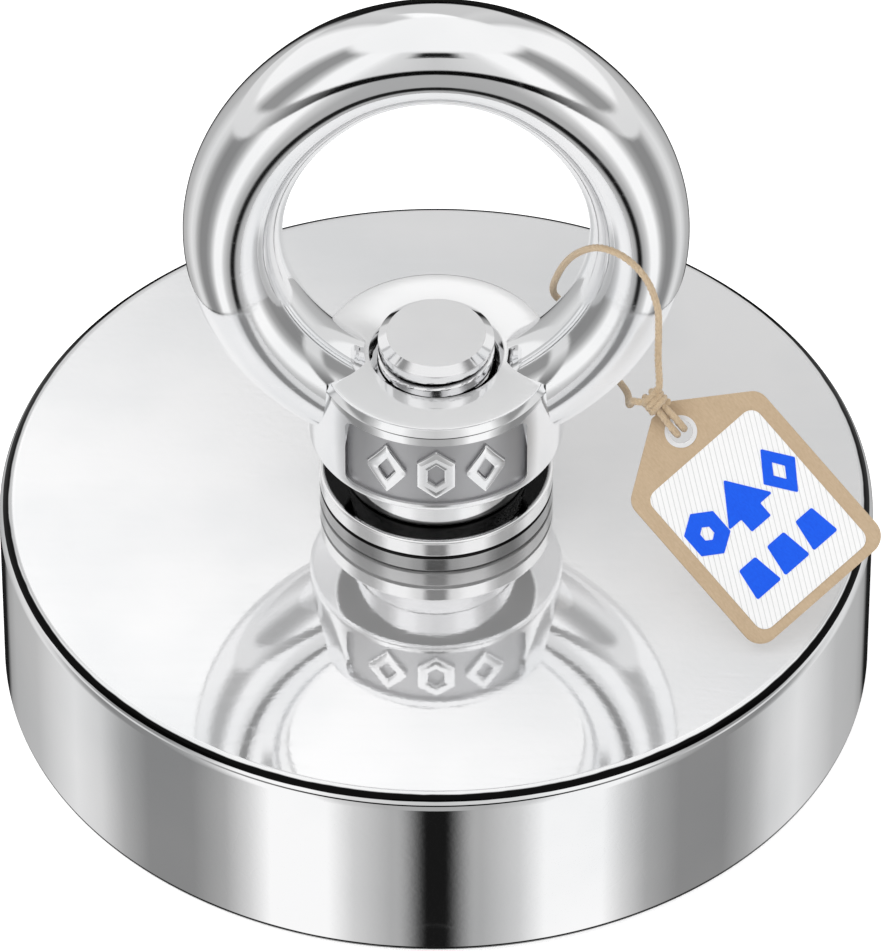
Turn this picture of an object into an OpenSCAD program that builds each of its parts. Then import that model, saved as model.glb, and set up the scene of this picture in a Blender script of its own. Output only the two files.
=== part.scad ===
// Single-sided pot fishing magnet: a plated steel pot with a potted ring magnet,
// an eye nut on a countersunk machine screw, and a card tag on a twine loop.
// Millimetres, +Z up, origin at the centre of the working face (the pot's open rim).

/* [Pot] */
// Outer diameter of the steel pot
pot_d = 60; // [56:0.5:64]
// Height of the pot over its rim and top face
pot_h = 14.4; // [14:0.1:18]
// Thickness of the pot's side wall
pot_wall = 4.5; // [3.5:0.1:5.5]
// Thickness of the pot's top plate
plate_t = 5.4; // [5.2:0.1:6]
// Rounding of the pot's top edge
pot_fillet = 1.0; // [0.4:0.1:2]

/* [Magnet] */
// Width of the resin gap round the magnet
resin_gap = 1.8; // [1:0.1:3]
// Radius of the hole in the middle of the magnet
magnet_hole_r = 10; // [9.4:0.1:11]
// Thickness of the resin lining in that hole
lining_t = 0.8; // [0.5:0.1:1.2]
// Depth of the magnet's face below the rim
magnet_recess = 0.3; // [0.1:0.1:0.8]
// Thickness of the glue between the magnet and the plate
glue_t = 0.2; // [0.1:0.05:0.3]

/* [Screw and washers] */
// Radius over the screw's thread crests
screw_r = 3.95; // [3.9:0.01:3.95]
// Length of the screw over its head
screw_l = 20; // [19:0.5:21]
// Outer radius of a washer
washer_r = 8; // [7.5:0.1:8.5]
// Thickness of one washer
washer_t = 1.4; // [1.2:0.1:1.6]

/* [Eye nut] */
// Height of the lower boss
boss_h = 3.6; // [3:0.1:4.5]
// Radius of the lower boss where it meets the washer
boss_r = 6.5; // [6:0.1:7]
// Radius of the lower boss under the hub
boss_top_r = 5.7; // [5.5:0.1:6.5]
// Height of the hub above the boss
hub_h = 6.7; // [6:0.1:7.5]
// Radius of the hub at its lower edge
hub_r = 8.72; // [8.4:0.02:9]
// Radius of the hub's flat top
hub_top_r = 7.85; // [7.5:0.05:8]
// Half the thickness of the eye's bar, in the plane of the eye
bar_r = 3.35; // [3:0.05:3.6]
// Half the depth of the eye's bar, front to back
bar_depth = 3.7; // [3.3:0.05:3.8]
// Half the width of the eye, at the middle of its bar
eye_half_w = 13.65; // [13:0.05:14.5]

/* [Tag] */
// Length of the card
card_l = 16.6; // [15:0.1:18]
// Width of the card
card_w = 11.7; // [11:0.1:12]
// Thickness of the card
card_t = 0.5; // [0.3:0.05:0.5]
// Diameter of the twine
twine_d = 0.5; // [0.4:0.05:0.5]

/* [Hidden] */
$fn = 96;

pot_r = pot_d / 2;
cup_r = pot_r - pot_wall;
plate_z = pot_h - plate_t;
magnet_r = cup_r - resin_gap;
magnet_top = plate_z - glue_t;
resin_z = magnet_recess + 0.45;
rim_bevel = 0.3;
rim_chamfer = 0.5;

// Screw: head sunk in the plate, thread standing up through the washers and the nut
head_r = 8;
head_land = 0.3;
head_sink = 0.2;
head_play = 0.07;
hole_play = 0.25;
pitch = 1.25;
thread_depth = 0.55;
head_bevel = 0.2;
tip_bevel = 0.45;
tip_r = 3.37;
last_crest = 0.75;
head_z = plate_z + head_sink;
tip_z = head_z + screw_l;
key_af = 5;
key_depth = 3;

// Eye nut: heights above the pot's underside
bore_play = 0.05;
nut_z = pot_h + 2 * washer_t;
hub_z = nut_z + boss_h;
hub_top_z = hub_z + hub_h;
nut_bore_r = screw_r + bore_play;
bore_mouth_r = 4.6;
edge = 0.25;
shoulder_h = 0.55;
shoulder_r = hub_top_r + 0.35;
spot_r = 4.9;

// The eye is an oval of six round arcs, joined where their centres line up (3-4-5 triangles)
eye_rise = 10.94;
eye_z = hub_top_z + eye_rise;
join = acos(0.6);
upper_shift = 3.3;
upper_lift = 4.4;
upper_step = 5.5;
lower_shift = 3;
lower_drop = 4;
lower_step = 5;
side_upper = eye_half_w + upper_shift;
side_lower = eye_half_w + lower_shift;
bar_sides = 24;

// Sunk panel on the front of the hub, with raised marks
panel_half_w = 6.15;
panel_low = hub_z + 0.55;
panel_high = hub_z + 5.6;
panel_depth = 0.35;
panel_corner = 0.6;
mark_w = 2.6;
mark_h = 3.9;
mark_gap = 3.35;
mark_rise = 0.3;
mark_root = 0.15;
lozenge_cut = 0.15;
pierced_w = 0.42;
pierced_h = 0.46;

// Tag: its front face is a tilted plane through the hole's centre
tag_tilt = 43;
tag_turn = -48.8;
tag_hole = [16.5, -6.25, pot_h + 11.5];
hole_r = 0.95;
card_end = 1.95;
card_shoulder = 1.4;
card_end_half = 0.9;
card_far = card_l - card_end;
card_corner = 1.35;
card_end_corner = 0.3;
card_corner_in = 0.5;
label_low = 1.85;
label_margin = 0.7;
label_high = card_far - label_margin;
label_half = 4.8;
label_corner = 0.8;
label_t = 0.1;
eyelet_bore_r = 0.8;
eyelet_lip_r = 1.1;
eyelet_lip_t = 0.08;
knot_r = 0.95;
knot_place = [-2.65, 1.2];

function arc(cx, cy, r, a0, a1, n) =
    [for (i = [0:n]) let (a = a0 + (a1 - a0) * i / n) [cx + r * cos(a), cy + r * sin(a)]];
function unit(v) = v / norm(v);

// ---------------------------------------------------------------- pot and magnet

function seat_r(z) = max(screw_r + hole_play,
    min(head_r + head_play, head_r + head_play - (z - head_z - head_land)));

module steel_pot() {
    seat_low = head_z + head_land;
    seat_high = seat_low + head_r + head_play - screw_r - hole_play;
    color("gainsboro") rotate_extrude() polygon(concat(
        [[cup_r + rim_bevel, 0], [pot_r - rim_chamfer, 0], [pot_r, rim_chamfer]],
        arc(pot_r - pot_fillet, pot_h - pot_fillet, pot_fillet, 0, 90, 8),
        [[seat_r(pot_h), pot_h], [seat_r(pot_h), seat_high], [head_r + head_play, seat_low],
         [head_r + head_play, plate_z], [cup_r, plate_z], [cup_r, rim_bevel]]));
}

module tube(r_in, r_out, z0, z1) {
    translate([0, 0, z0]) difference() {
        cylinder(r = r_out, h = z1 - z0);
        translate([0, 0, -1]) cylinder(r = r_in, h = z1 - z0 + 2);
    }
}

module magnet_glue() color("darkkhaki") tube(magnet_hole_r, magnet_r, magnet_top, plate_z);

module ring_magnet() {
    bevel = 0.3;
    color("silver") rotate_extrude() polygon([
        [magnet_hole_r + bevel, magnet_recess], [magnet_r - bevel, magnet_recess],
        [magnet_r, magnet_recess + bevel], [magnet_r, magnet_top],
        [magnet_hole_r, magnet_top], [magnet_hole_r, magnet_recess + bevel]]);
}

module outer_resin_ring() color("dimgray") tube(magnet_r, cup_r, resin_z, plate_z);

module inner_resin_ring()
    color("dimgray") tube(magnet_hole_r - lining_t, magnet_hole_r, resin_z, plate_z);

// ---------------------------------------------------------------- screw and washers

module countersunk_screw() {
    turns = floor((tip_z - pot_h) / pitch);
    crest = pitch / 8;
    root_r = screw_r - thread_depth;
    cone_top = head_z + head_land + head_r - screw_r;
    color("silver") difference() {
        rotate_extrude() polygon(concat(
            [[0, head_z], [head_r - head_bevel, head_z], [head_r, head_z + head_bevel],
             [head_r, head_z + head_land], [screw_r, cone_top]],
            [for (i = [turns - 1:-1:0], step = [0:2])
                let (z = tip_z - last_crest - i * pitch)
                [step == 1 ? root_r : screw_r, z + (step - 2) * (pitch - crest) / 2]],
            [[screw_r, tip_z - tip_bevel], [tip_r, tip_z], [0, tip_z]]));
        translate([0, 0, head_z - 1])
            cylinder(r = key_af / 2 / cos(30), h = key_depth + 1, $fn = 6);
    }
}

module washer(z) {
    bore = screw_r + hole_play;
    bevel = 0.2;
    translate([0, 0, z]) rotate_extrude() polygon([
        [bore, 0], [washer_r - bevel, 0], [washer_r, bevel], [washer_r, washer_t - bevel],
        [washer_r - bevel, washer_t], [bore, washer_t]]);
}

module lower_washer() color("gainsboro") washer(pot_h);

module upper_washer() color("whitesmoke") washer(pot_h + washer_t);

// ---------------------------------------------------------------- eye nut

// Hub side: upright at the lower edge, then curving in to the shoulder
function hub_side(inset) = [for (i = [0:8]) let (t = i / 8)
    [hub_r - inset - (hub_r - shoulder_r) * t * t,
     hub_z + edge + (hub_h - shoulder_h - edge) * t]];

// Middle line of the bar, once round: the oval's arcs end to end
function bar_line() =
    let (top = side_upper - upper_step, low = side_lower - lower_step)
    concat(arc(-upper_shift, 0, side_upper, 0, join * 7 / 8, 7),
           arc(0, upper_lift, top, join, 180 - join - (180 - 2 * join) / 10, 9),
           arc(upper_shift, 0, side_upper, 180 - join, 180 - join / 8, 7),
           arc(lower_shift, 0, side_lower, 180, 180 + join * 7 / 8, 7),
           arc(0, -lower_drop, low, 180 + join, 360 - join - (180 - 2 * join) / 10, 9),
           arc(-lower_shift, 0, side_lower, -join, -join / 8, 7));

module eye_bar() {
    line = bar_line();
    count = len(line);
    points = [for (i = [0:count - 1], k = [0:bar_sides - 1])
        let (along = unit(line[(i + 1) % count] - line[(i + count - 1) % count]),
             out = [along[1], -along[0]], a = 360 * (k + 0.5) / bar_sides,
             p = line[i] + bar_r * cos(a) * out)
        [p[0], bar_depth * sin(a), eye_z + p[1]]];
    walls = [for (i = [0:count - 1], k = [0:bar_sides - 1])
        let (i2 = (i + 1) % count, k2 = (k + 1) % bar_sides)
        [i * bar_sides + k, i2 * bar_sides + k, i2 * bar_sides + k2, i * bar_sides + k2]];
    polyhedron(points, walls, convexity = 10);
}

module hub() {
    rotate_extrude() polygon(concat(
        [[0, nut_z], [boss_r - edge, nut_z], [boss_r, nut_z + edge], [boss_top_r, hub_z],
         [hub_r - edge, hub_z]],
        hub_side(0), [[hub_top_r, hub_top_z], [0, hub_top_z]]));
}

// Everything outside the hub's side, less an inset
module around_hub(inset) {
    low = hub_side(inset)[0];
    high = hub_side(inset)[8];
    rotate_extrude() polygon(concat(hub_side(inset),
        [[high[0], high[1] + 1], [hub_r + 3, high[1] + 1], [hub_r + 3, low[1] - 1],
         [low[0], low[1] - 1]]));
}

module front_prism() rotate([90, 0, 0]) linear_extrude(hub_r + 2) children();

module panel_outline() {
    for (side = [-1, 1], z = [panel_low + panel_corner, panel_high - panel_corner])
        translate([side * (panel_half_w - panel_corner), z]) circle(r = panel_corner, $fn = 32);
    translate([-panel_half_w, panel_low + panel_corner])
        square([2 * panel_half_w, panel_high - panel_low - 2 * panel_corner]);
    translate([-panel_half_w + panel_corner, panel_low])
        square([2 * (panel_half_w - panel_corner), panel_high - panel_low]);
}

function lozenge(w, h, cut) = [[-w / 2, -cut], [0, -h / 2], [w / 2, -cut],
                               [w / 2, cut], [0, h / 2], [-w / 2, cut]];

// Three tall pierced marks in a row
module marks_outline() {
    for (i = [-1, 0, 1]) translate([i * mark_gap, (panel_low + panel_high) / 2]) {
        difference() {
            polygon(lozenge(mark_w, mark_h, i == 0 ? mark_h / 4 : lozenge_cut));
            polygon(lozenge(mark_w * pierced_w, mark_h * pierced_h,
                            pierced_h * (i == 0 ? mark_h / 4 : lozenge_cut)));
        }
    }
}

module eye_nut() {
    color("whitesmoke") {
        difference() {
            union() {
                hub();
                eye_bar();
            }
            translate([0, 0, nut_z - 1]) cylinder(r = nut_bore_r, h = hub_top_z - nut_z + 2);
            translate([0, 0, hub_top_z]) cylinder(r = spot_r, h = 3);
            translate([0, 0, hub_top_z - (bore_mouth_r - nut_bore_r)])
                cylinder(r1 = nut_bore_r, r2 = bore_mouth_r + 0.01, h = bore_mouth_r - nut_bore_r + 0.01);
            intersection() {
                around_hub(panel_depth);
                front_prism() panel_outline();
            }
        }
        intersection() {
            difference() {
                around_hub(panel_depth + mark_root);
                around_hub(panel_depth - mark_rise);
            }
            front_prism() marks_outline();
        }
    }
}

// ---------------------------------------------------------------- tag on its twine

// Tag frame: p along the card from its hole, q across it, n out of its face
function tilted(u, v, n) = [u, v * sin(tag_tilt) - n * cos(tag_tilt),
                            v * cos(tag_tilt) + n * sin(tag_tilt)];
function on_tag(p, q, n) = tag_hole + tilted(p * cos(tag_turn) - q * sin(tag_turn),
                                             p * sin(tag_turn) + q * cos(tag_turn), n);

module in_tag_frame()
    translate(tag_hole) rotate([90 - tag_tilt, 0, 0]) rotate([0, 0, tag_turn]) children();

// Corner points of the card, each rounded by the arc its two edges allow
module card_outline() {
    half = card_w / 2;
    slope = atan2(half - card_end_half, card_shoulder + card_end);
    end_in = half - card_corner;
    polygon(concat(
        arc(-card_end + card_end_corner, card_end_half - card_end_corner, card_end_corner,
            180, 90 + slope, 4),
        arc(card_shoulder + card_corner_in, end_in, card_corner, 90 + slope, 90, 4),
        arc(card_far - card_corner, end_in, card_corner, 90, 0, 8),
        arc(card_far - card_corner, -end_in, card_corner, 0, -90, 8),
        arc(card_shoulder + card_corner_in, -end_in, card_corner, -90, -90 - slope, 4),
        arc(-card_end + card_end_corner, -card_end_half + card_end_corner, card_end_corner,
            -90 - slope, -180, 4)));
}

module tag_card() {
    color("tan") in_tag_frame() translate([0, 0, -card_t]) difference() {
        linear_extrude(card_t) card_outline();
        translate([0, 0, -1]) cylinder(r = hole_r, h = card_t + 2);
    }
}

module tag_label() {
    inner_half = label_half - label_corner;
    color("white") in_tag_frame() linear_extrude(label_t) {
        translate([label_low + label_corner, -label_half])
            square([label_high - label_low - 2 * label_corner, 2 * label_half]);
        translate([label_low, -inner_half]) square([label_high - label_low, 2 * inner_half]);
        for (p = [label_low + label_corner, label_high - label_corner], side = [-1, 1])
            translate([p, side * inner_half]) circle(r = label_corner, $fn = 32);
    }
}

// A sleeve through the card's hole with a narrow lip on the front
module tag_eyelet() {
    color("lightgray") in_tag_frame() rotate_extrude() polygon([
        [eyelet_bore_r, -card_t], [hole_r, -card_t], [hole_r, 0], [eyelet_lip_r, 0],
        [eyelet_lip_r, eyelet_lip_t], [eyelet_bore_r, eyelet_lip_t]]);
}

// Twine route. One end is in the knot; it passes under the card, up through the hole, through
// the knot, round the eye's bar, through the knot again and down through the hole.
hole_pass = [[-2.5, 0.55], [-3.1, 0.3], [-3.3, -0.3], [-2.9, -0.95], [-2, -1.25], [-1, -1.25],
             [-0.3, -1], [0, -0.25], [-0.3, 0.5], [-1, 0.85], [-2.6, 1.3]];
strand_q = 0.3;
bar_pass = [[15.0, -5.5, 15.4], [14.9, -5.1, 17.2], [14.9, -4.8, 19.3], [14.8, -4.7, 21.3],
            [14.2, -4.5, 23.3], [13.2, -4.4, 24.9], [11.9, -4.1, 25.8], [10.5, -3, 25.2],
            [9.1, -1.3, 22.9], [8.2, 0.7, 19.5], [8.0, 3.2, 15.5], [9.5, 4.6, 12.5],
            [11, 4.4, 9.6], [12.2, 3.1, 8.1], [13, 0.6, 8.8], [13.1, -1.8, 9.9],
            [13.3, -3.7, 11.9], [13.4, -5.2, 13.3]];
route = concat(
    [for (pt = hole_pass) on_tag(pt[0], strand_q, pt[1])],
    [for (pt = bar_pass) [pt[0], pt[1], pot_h + pt[2]]],
    [for (i = [len(hole_pass) - 1:-1:0]) on_tag(hole_pass[i][0], -strand_q, hole_pass[i][1])]);

function spline_at(pts, i, t) =
    let (n = len(pts) - 1, a = pts[max(i - 1, 0)], b = pts[i], c = pts[min(i + 1, n)],
         d = pts[min(i + 2, n)])
    0.5 * (2 * b + (c - a) * t + (2 * a - 5 * b + 4 * c - d) * t * t
           + (3 * b - a - 3 * c + d) * t * t * t);
function smooth(pts) = concat(
    [for (i = [0:len(pts) - 2], t = [0, 0.5]) spline_at(pts, i, t)], [pts[len(pts) - 1]]);

// Frames carried along the path, so that the rings don't twist
function carried(side, along) = unit(side - (side * along) * along);
function sides(dirs, i = 1, out = []) =
    i >= len(dirs) ? out : sides(dirs, i + 1, concat(out, [carried(out[i - 1], dirs[i])]));

module swept_tube(path, r, n = 8) {
    last = len(path) - 1;
    dirs = [for (i = [0:last]) unit(path[min(i + 1, last)] - path[max(i - 1, 0)])];
    first = carried(abs(dirs[0][0]) < 0.8 ? [1, 0, 0] : [0, 1, 0], dirs[0]);
    frames = sides(dirs, 1, [first]);
    points = [for (i = [0:last], k = [0:n - 1])
        let (a = 360 * k / n, other = cross(dirs[i], frames[i]))
        path[i] + r * (cos(a) * frames[i] + sin(a) * other)];
    walls = [for (i = [0:last - 1], k = [0:n - 1])
        let (k2 = (k + 1) % n) [i * n + k, (i + 1) * n + k, (i + 1) * n + k2, i * n + k2]];
    caps = [[for (k = [0:n - 1]) k], [for (k = [n - 1:-1:0]) last * n + k]];
    polyhedron(points, concat(walls, caps), convexity = 10);
}

module twine_loop() color("burlywood") swept_tube(smooth(route), twine_d / 2);

module twine_knot()
    color("burlywood") translate(on_tag(knot_place[0], 0, knot_place[1])) sphere(r = knot_r, $fn = 48);

steel_pot();
magnet_glue();
ring_magnet();
outer_resin_ring();
inner_resin_ring();
countersunk_screw();
lower_washer();
upper_washer();
eye_nut();
twine_loop();
twine_knot();
tag_card();
tag_label();
tag_eyelet();
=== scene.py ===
import math

import bmesh
import bpy
import numpy as np
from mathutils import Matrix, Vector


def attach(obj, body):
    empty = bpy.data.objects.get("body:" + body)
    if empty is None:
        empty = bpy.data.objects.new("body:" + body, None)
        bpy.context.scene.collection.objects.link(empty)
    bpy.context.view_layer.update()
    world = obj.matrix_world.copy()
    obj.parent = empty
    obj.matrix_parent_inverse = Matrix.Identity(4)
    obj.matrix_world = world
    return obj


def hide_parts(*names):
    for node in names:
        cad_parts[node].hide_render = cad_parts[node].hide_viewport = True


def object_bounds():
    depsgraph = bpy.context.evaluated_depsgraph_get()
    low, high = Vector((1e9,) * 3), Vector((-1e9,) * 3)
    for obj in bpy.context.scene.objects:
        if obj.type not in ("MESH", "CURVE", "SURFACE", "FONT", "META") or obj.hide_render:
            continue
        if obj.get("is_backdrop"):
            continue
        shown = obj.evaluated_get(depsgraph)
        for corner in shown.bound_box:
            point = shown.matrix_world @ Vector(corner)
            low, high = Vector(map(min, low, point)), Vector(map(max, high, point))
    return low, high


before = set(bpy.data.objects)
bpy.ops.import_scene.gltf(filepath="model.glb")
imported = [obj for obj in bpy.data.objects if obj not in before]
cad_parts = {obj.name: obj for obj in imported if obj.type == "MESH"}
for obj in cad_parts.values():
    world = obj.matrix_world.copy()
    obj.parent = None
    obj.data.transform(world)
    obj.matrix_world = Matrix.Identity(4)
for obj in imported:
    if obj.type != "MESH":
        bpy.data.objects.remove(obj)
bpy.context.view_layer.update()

# ------------------------------------------------------------------ camera
# A long lens looks down on the pot from the front, so that the top, the wall and the
# whole eye show at once. Nothing here belongs to the object.

VIEW_HEIGHT = math.radians(43.14)
VIEW_DISTANCE = 0.7
VIEW_CENTRE_Z = 0.01438

camera_data = bpy.data.cameras.new("view_camera")
camera_data.sensor_width = 36
camera_data.lens = 385.97
camera_data.shift_x = 0.01136
camera_data.shift_y = 0.0182
camera_data.clip_start = 0.01
camera = bpy.data.objects.new("view_camera", camera_data)
camera.location = (
    0,
    -VIEW_DISTANCE * math.cos(VIEW_HEIGHT),
    VIEW_CENTRE_Z + VIEW_DISTANCE * math.sin(VIEW_HEIGHT),
)
camera.rotation_euler = (math.pi / 2 - VIEW_HEIGHT, 0, 0)
bpy.context.scene.collection.objects.link(camera)
bpy.context.scene.camera = camera
bpy.context.scene.view_settings.view_transform = "Standard"

# ------------------------------------------------------------------ twine
# Three-ply jute twine, half a millimetre thick. It runs from the knot under the card, up
# through the eyelet, round the eye's bar and back the same way, and the knot holds both ends.

# The twine's radius and twist are in metres. The pieces' other lengths are in millimetres.
# HOLE_PASS is (along the card, out of its face) from the hole, and BAR_PASS is (x, y, height
# over the pot).
TWINE_R = 0.00025
TWINE_TWIST = 0.0013
CURVE_STEPS = 24
STRAND_Q = 0.3
POT_H = 14.4
TAG_TILT = math.radians(43)
TAG_TURN = math.radians(-48.8)
TAG_HOLE = np.array([16.5, -6.25, 25.9])
HOLE_PASS = np.array([
    [-2.5, 0.55], [-3.1, 0.3], [-3.3, -0.3], [-2.9, -0.95], [-2, -1.25], [-1, -1.25],
    [-0.3, -1], [0, -0.25], [-0.3, 0.5], [-1, 0.85], [-2.6, 1.3],
])
BAR_PASS = np.array([
    [15.0, -5.5, 15.4], [14.9, -5.1, 17.2], [14.9, -4.8, 19.3], [14.8, -4.7, 21.3],
    [14.2, -4.5, 23.3], [13.2, -4.4, 24.9], [11.9, -4.1, 25.8], [10.5, -3, 25.2],
    [9.1, -1.3, 22.9], [8.2, 0.7, 19.5], [8.0, 3.2, 15.5], [9.5, 4.6, 12.5],
    [11, 4.4, 9.6], [12.2, 3.1, 8.1], [13, 0.6, 8.8], [13.1, -1.8, 9.9],
    [13.3, -3.7, 11.9], [13.4, -5.2, 13.3],
])


def on_tag(p, q, n):
    """Tag plane to row frame, in metres: the hole's centre + p along the card + q across it
    + n out of its face, where p and q are turned in the plane and the plane leans back."""
    p, q, n = np.broadcast_arrays(p, q, n)
    u = p * math.cos(TAG_TURN) - q * math.sin(TAG_TURN)
    v = p * math.sin(TAG_TURN) + q * math.cos(TAG_TURN)
    y = v * math.sin(TAG_TILT) - n * math.cos(TAG_TILT)
    z = v * math.cos(TAG_TILT) + n * math.sin(TAG_TILT)
    return (np.stack([u, y, z], axis=-1) + TAG_HOLE) / 1000


def flowing(points, steps):
    """Catmull-Rom curve: on each span, half of 2b + (c - a)t + (2a - 5b + 4c - d)t^2
    + (3b - a - 3c + d)t^3, with the end points repeated."""
    padded = np.concatenate([points[:1], points, points[-1:]])
    a, b, c, d = (padded[i:len(padded) - 3 + i, None] for i in range(4))
    t = (np.arange(steps) / steps)[None, :, None]
    spans = 0.5 * (
        2 * b + (c - a) * t + (2 * a - 5 * b + 4 * c - d) * t**2 + (3 * b - a - 3 * c + d) * t**3
    )
    return np.concatenate([spans.reshape(-1, 3), points[-1:]])


def shell(name, grid, loop=True, uv=None):
    """Mesh object over a (rows, columns, 3) grid whose columns close into rings. With loop
    the last row joins the first; without it the end rows are poles. Equal points are welded,
    and the faces are turned so that the volume, the sum of a.(b x c)/6, is positive."""
    rows, columns = grid.shape[:2]
    i, j = np.meshgrid(np.arange(rows if loop else rows - 1), np.arange(columns), indexing="ij")
    corner_i = np.stack([i, i, i + 1, i + 1], axis=-1).reshape(-1, 4)
    corner_j = np.stack([j, j + 1, j + 1, j], axis=-1).reshape(-1, 4)
    if uv is None:
        corner_uv = np.stack([corner_i / rows, corner_j / columns], axis=-1)
    else:
        corner_uv = uv[corner_i % rows, corner_j % columns]
    quads = (corner_i % rows) * columns + corner_j % columns
    co = grid.reshape(-1, 3)
    a, b, c, d = (co[quads[:, k]] - co.mean(axis=0) for k in range(4))
    volume = np.sum(a * np.cross(b, c)) + np.sum(a * np.cross(c, d))
    if volume < 0:
        quads = quads[:, ::-1]
        corner_uv = corner_uv[:, ::-1]
    mesh = bpy.data.meshes.new(name)
    mesh.vertices.add(len(co))
    mesh.vertices.foreach_set("co", co.ravel())
    mesh.loops.add(quads.size)
    mesh.loops.foreach_set("vertex_index", quads.ravel())
    mesh.polygons.add(len(quads))
    mesh.polygons.foreach_set("loop_start", np.arange(len(quads)) * 4)
    mesh.uv_layers.new(name="surface").data.foreach_set("uv", corner_uv.ravel())
    mesh.update(calc_edges=True)
    welder = bmesh.new()
    welder.from_mesh(mesh)
    bmesh.ops.remove_doubles(welder, verts=welder.verts, dist=1e-8)
    welder.to_mesh(mesh)
    welder.free()
    mesh.validate()
    obj = bpy.data.objects.new(name, mesh)
    bpy.context.scene.collection.objects.link(obj)
    return obj


def smooth(obj, degrees=28):
    """Smooth shading, with edges sharper than the angle kept crisp."""
    obj.data.shade_smooth()
    obj.data.set_sharp_from_angle(angle=math.radians(degrees))
    return obj


def twisted(name, line, twist_length, columns=36):
    """Laid cord: round a line, radius R(0.8 + 0.2 |cos 1.5(angle - 2 pi s / twist)|), so
    three plies wind once in each twist length s. The ends close in poles on the line."""
    along = np.gradient(line, axis=0)
    along /= np.linalg.norm(along, axis=1, keepdims=True)
    side = np.cross(along, [0.31, 0.2, 0.93])
    side /= np.linalg.norm(side, axis=1, keepdims=True)
    other = np.cross(along, side)
    travel = np.concatenate([[0], np.cumsum(np.linalg.norm(np.diff(line, axis=0), axis=1))])
    angle = np.arange(columns) * 2 * np.pi / columns
    phase = angle[None] - 2 * np.pi * travel[:, None] / twist_length
    radius = TWINE_R * (0.8 + 0.2 * np.abs(np.cos(1.5 * phase)))
    rings = line[:, None] + radius[..., None] * (
        np.cos(angle)[None, :, None] * side[:, None] + np.sin(angle)[None, :, None] * other[:, None]
    )
    ends = [np.repeat(line[k][None, None], columns, axis=1) for k in (0, -1)]
    return shell(name, np.concatenate([ends[0], rings, ends[1]]), loop=False)


route = np.concatenate([
    on_tag(HOLE_PASS[:, 0], STRAND_Q, HOLE_PASS[:, 1]),
    (BAR_PASS + [0, 0, POT_H]) / 1000,
    on_tag(HOLE_PASS[::-1, 0], -STRAND_Q, HOLE_PASS[::-1, 1]),
])
twine_line = flowing(route, CURVE_STEPS)
twine = smooth(twisted("twine", twine_line, TWINE_TWIST), 60)


def node_tree(name):
    """A new material, its node tree and its Principled BSDF."""
    material = bpy.data.materials.new(name)
    material.use_nodes = True
    return material, material.node_tree, material.node_tree.nodes["Principled BSDF"]


def put(tree, kind, settings=None, **inputs):
    """Adds a node to a tree. Inputs are sockets to link from or plain values, named with
    _ for a space; a leading i and a number picks an input by its place."""
    node = tree.nodes.new(kind)
    for key, value in (settings or {}).items():
        setattr(node, key, value)
    for key, value in inputs.items():
        place = int(key[1:]) if key[1:].isdigit() else key.replace("_", " ")
        socket = node.inputs[place]
        if isinstance(value, bpy.types.NodeSocket):
            tree.links.new(value, socket)
        else:
            socket.default_value = value
    return node


def maths(tree, operation, *values, clamp=False):
    """A Math node's output."""
    node = put(tree, "ShaderNodeMath", {"operation": operation, "use_clamp": clamp},
               **{f"i{k}": v for k, v in enumerate(values)})
    return node.outputs[0]


def ramp(tree, factor, stops):
    """A colour ramp's output. stops are (place, colour) or (place, grey) pairs."""
    node = put(tree, "ShaderNodeValToRGB", i0=factor)
    elements = node.color_ramp.elements
    for k, (place, colour) in enumerate(stops):
        element = elements[k] if k < 2 else elements.new(place)
        element.position = place
        grey = not hasattr(colour, "__len__")
        element.color = (colour, colour, colour, 1) if grey else (*colour, 1)
    return node.outputs[0]


def fibre_group():
    """Loose plant fibre for twine and paper. Two stretched noises give fine streaks along U
    and a slow change of tone; Color mixes dark to light by them, and Height is the streaks."""
    group = bpy.data.node_groups.new("fibre", "ShaderNodeTree")
    for name, kind in (("Vector", "Vector"), ("Dark", "Color"), ("Light", "Color"),
                       ("Fine", "Float"), ("Slow", "Float")):
        group.interface.new_socket(name, in_out="INPUT", socket_type=f"NodeSocket{kind}")
    for name, kind in (("Color", "Color"), ("Height", "Float")):
        group.interface.new_socket(name, in_out="OUTPUT", socket_type=f"NodeSocket{kind}")
    given = group.nodes.new("NodeGroupInput").outputs
    fine = put(group, "ShaderNodeTexNoise", Vector=given["Vector"], Scale=given["Fine"],
               Detail=4.0, Roughness=0.65).outputs[0]
    slow = put(group, "ShaderNodeTexNoise", Vector=given["Vector"], Scale=given["Slow"],
               Detail=2.0).outputs[0]
    streaks = maths(group, "MULTIPLY", maths(group, "SUBTRACT", fine, 0.35), 2.4, clamp=True)
    tone = maths(group, "ADD", maths(group, "MULTIPLY", streaks, 0.65),
                 maths(group, "MULTIPLY", slow, 0.5), clamp=True)
    colour = put(group, "ShaderNodeMix", {"data_type": "RGBA"}, i0=tone,
                 i6=given["Dark"], i7=given["Light"]).outputs[2]
    back = group.nodes.new("NodeGroupOutput").inputs
    group.links.new(colour, back["Color"])
    group.links.new(streaks, back["Height"])
    return group


FIBRE = fibre_group()


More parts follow.
